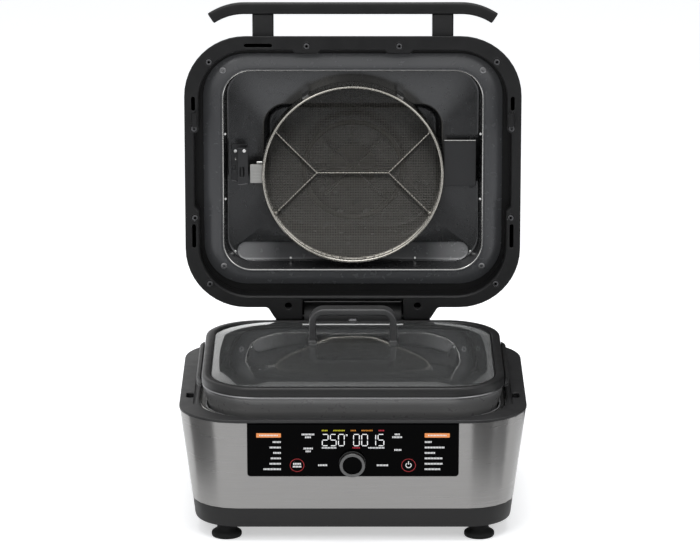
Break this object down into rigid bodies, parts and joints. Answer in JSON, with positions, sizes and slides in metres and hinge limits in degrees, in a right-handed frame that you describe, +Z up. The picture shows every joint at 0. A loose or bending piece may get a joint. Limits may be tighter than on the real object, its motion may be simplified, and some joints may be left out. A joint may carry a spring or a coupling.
{
  "type": "air fryer grill",
  "caption": "Countertop grill and air fryer with a square steel-wrapped base, lift-out pot, domed glass lid, and a deep hinged lid that holds a fan, a heater ring and a round lift-off guard.",
  "frame": {"origin": "middle of the whole object's bounding box, on the surface that the feet stand on", "axes": "+Z up; the control panel faces -Y; +X is to the right for someone facing the panel"},
  "size_m": [0.4016, 0.4434, 0.5663],
  "materials": {
    "black_plastic": "satin moulded black",
    "brushed_steel": "brushed",
    "circuit_board": "solder mask",
    "grey_coating": "satin grey non-stick",
    "cast_aluminium": "cast, machined top",
    "bright_steel": "bright",
    "foot_rubber": "matt",
    "gloss_black": "high gloss",
    "brass": "turned",
    "knob_metal": "satin",
    "dark_coating": "satin dark non-stick",
    "black_silicone": "satin",
    "clear_glass": "clear",
    "mesh_steel": "woven wire",
    "light_plastic": "satin light grey"
  },
  "bodies": {
    "base": {"deck_frame": "black_plastic", "steel_wrap": "brushed_steel", "base_tray": "black_plastic", "power_board": "circuit_board", "base_liner": "grey_coating", "lower_heater": "cast_aluminium", "rear_hinge_housing": "black_plastic", "hinge_pin": "bright_steel", "foot_front_left": "foot_rubber", "foot_front_right": "foot_rubber", "foot_rear_left": "foot_rubber", "foot_rear_right": "foot_rubber", "lid_switch_left": "black_plastic", "lid_switch_right": "black_plastic", "sensor_cup": "brushed_steel", "sensor_spring": "bright_steel", "control_panel": "gloss_black", "control_board": "circuit_board", "display_module": "gloss_black", "encoder": "bright_steel", "cord_inlet": "black_plastic"},
    "sensor": {"sensor_cap": "cast_aluminium"},
    "knob": {"knob_shaft": "brass", "knob_ring": "knob_metal", "knob_cap": "gloss_black"},
    "pot": {"pot": "dark_coating"},
    "glass_lid": {"lid_rim_ring": "black_silicone", "lid_glass": "clear_glass", "lid_grip": "black_plastic", "steam_vent": "black_silicone", "grip_screw_left": "bright_steel", "grip_screw_right": "bright_steel"},
    "lid": {"lid_frame": "black_plastic", "lid_cover": "black_plastic", "lid_liner": "grey_coating", "upper_heater": "bright_steel", "guard_rest_plate": "grey_coating", "guard_latch_bracket": "grey_coating", "guard_clip_left": "bright_steel", "guard_clip_right": "bright_steel", "motor_bracket": "brushed_steel", "fan_motor": "brushed_steel", "handle_bar": "black_plastic", "handle_post_left": "black_plastic", "handle_post_right": "black_plastic", "latch_peg_left": "black_plastic", "latch_peg_right": "black_plastic"},
    "guard": {"guard_ring": "bright_steel", "guard_mesh": "mesh_steel", "guard_wire": "bright_steel", "guard_tab": "light_plastic"},
    "fan": {"fan_blade": "cast_aluminium", "cooling_fan": "black_plastic", "motor_shaft": "bright_steel"}
  },
  "joints": [
    {"name": "lid_hinge", "type": "hinge", "parent": "base", "child": "lid", "pos_m": [0, 0.13433, 0.1756], "axis": [-1, 0, 0], "range_deg": [-70, 0]},
    {"name": "pot_lift", "type": "slide", "parent": "base", "child": "pot", "axis": [0, 0, 1], "range_m": [0, 0.1]},
    {"name": "glass_lid_lift", "type": "slide", "parent": "pot", "child": "glass_lid", "axis": [0, 0, 1], "range_m": [0, 0.04]},
    {"name": "guard_pull", "type": "slide", "parent": "lid", "child": "guard", "axis": [0, -1, 0], "range_m": [0, 0.03]},
    {"name": "fan_spin", "type": "hinge", "parent": "lid", "child": "fan", "pos_m": [0, 0.17, 0.351], "axis": [0, -1, 0], "continuous": true},
    {"name": "knob_turn", "type": "hinge", "parent": "base", "child": "knob", "pos_m": [-0.0007, -0.2113, 0.09792], "axis": [0, -0.9915, -0.1301], "continuous": true},
    {"name": "pot_sensor_press", "type": "slide", "parent": "base", "child": "sensor", "axis": [0, 0, -1], "range_m": [0, 0.003], "stiffness_N_per_m": 300, "springref_m": -0.002, "deforming": ["sensor_spring"]}
  ]
}
